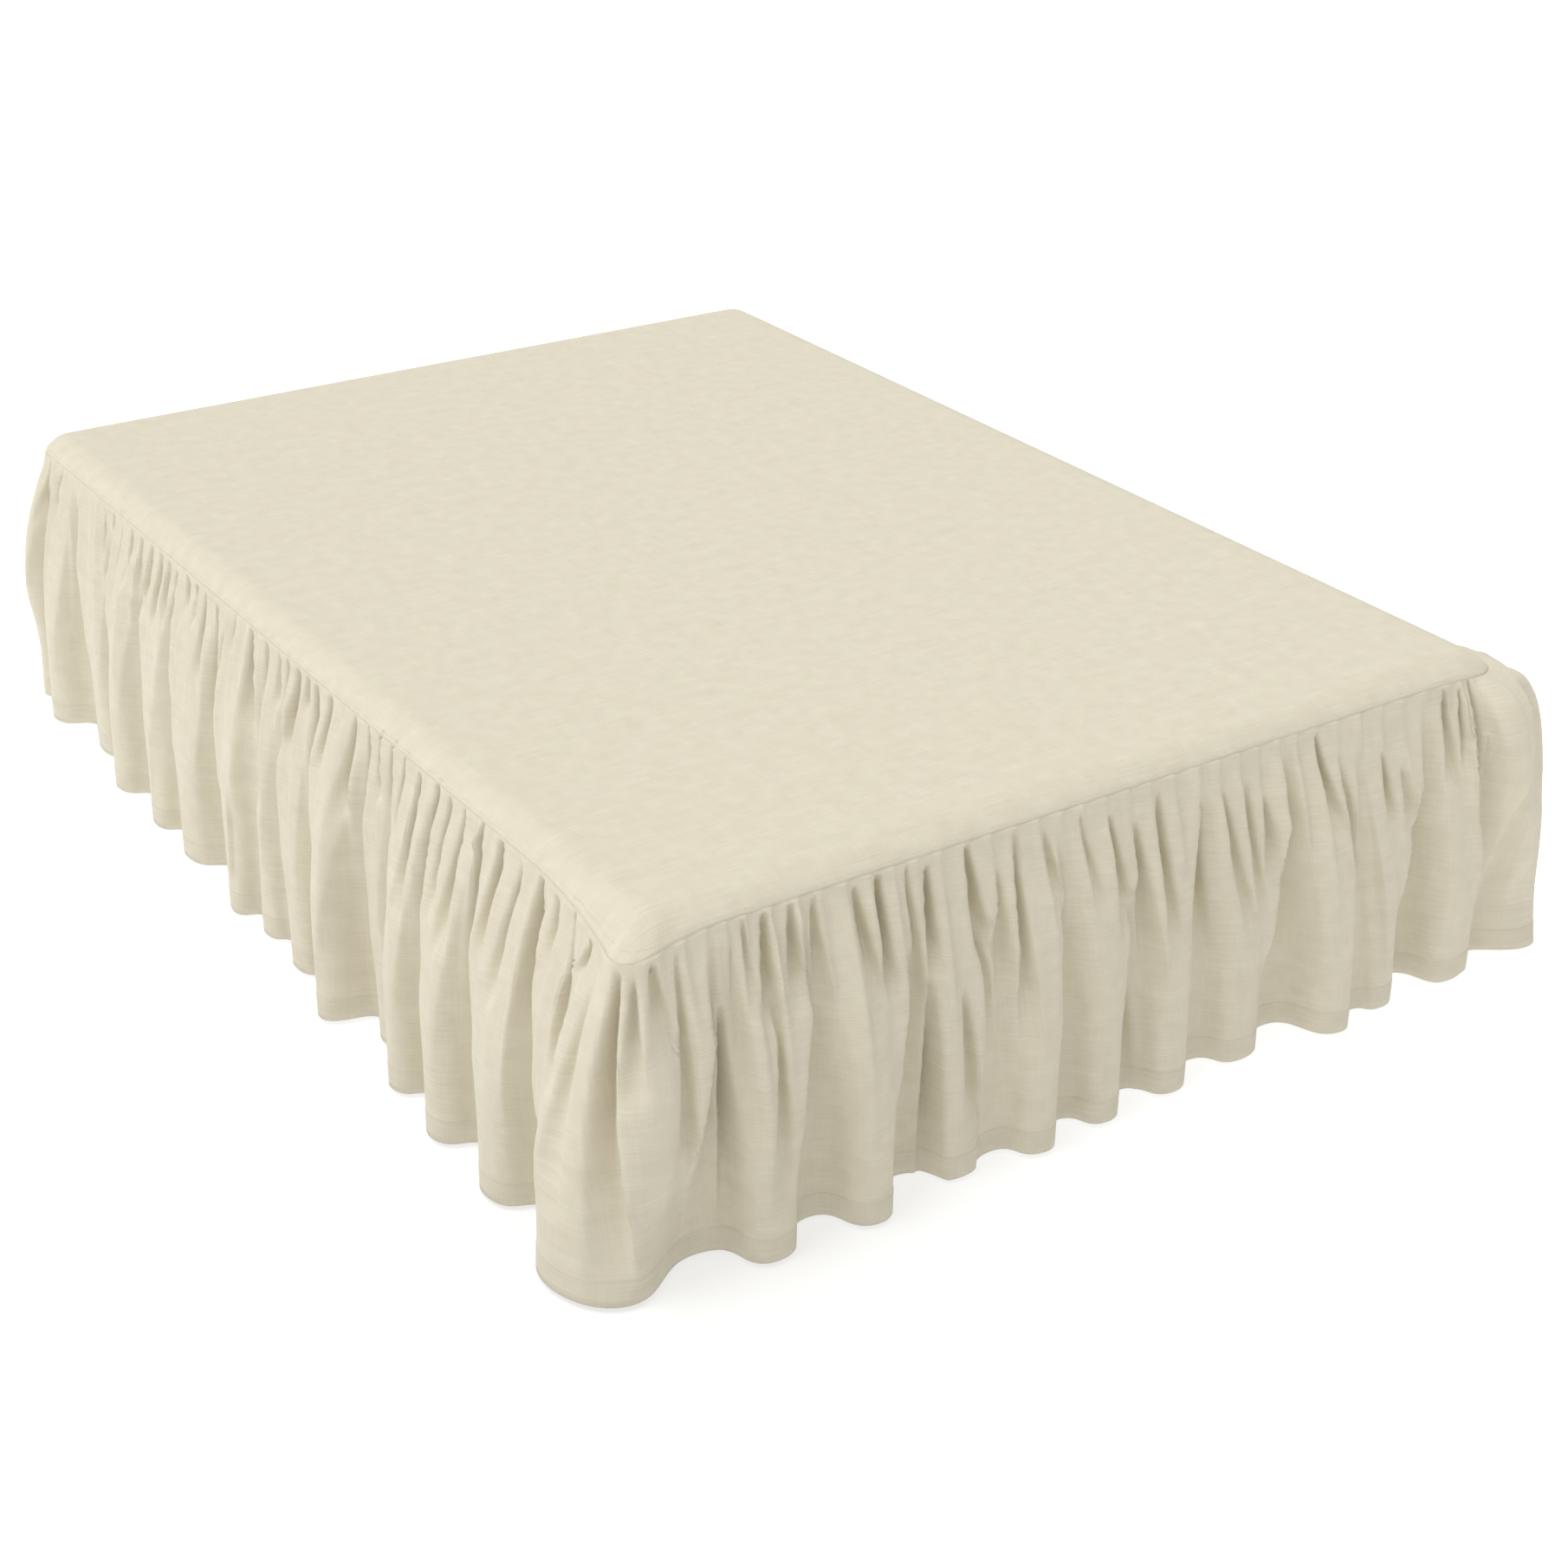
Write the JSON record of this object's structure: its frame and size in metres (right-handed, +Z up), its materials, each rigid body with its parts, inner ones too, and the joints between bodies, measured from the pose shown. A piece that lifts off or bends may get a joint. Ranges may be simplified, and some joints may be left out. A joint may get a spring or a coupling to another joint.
{
  "type": "bed skirt on a box spring",
  "caption": "Bed skirt: a flat cotton deck with a long gathered ruffle that falls to the floor round the sides and foot of a box spring on plain legs.",
  "frame": {"origin": "on the floor, under the centre of the whole part's bounding box", "axes": "+Z up; +Y towards the head of the bed, along its length; +X towards the right side, seen from the foot"},
  "size_m": [1.656, 2.0608, 0.485],
  "materials": {
    "cotton": "plain-weave cotton, cream, matt",
    "ticking": "plain woven ticking, off-white, matt",
    "wood": "satin varnish"
  },
  "bodies": {
    "root": {"deck": "cotton", "ruffle": "cotton", "box_spring": "ticking", "leg_1": "wood", "leg_2": "wood", "leg_3": "wood", "leg_4": "wood", "leg_5": "wood", "leg_6": "wood"}
  },
  "joints": []
}
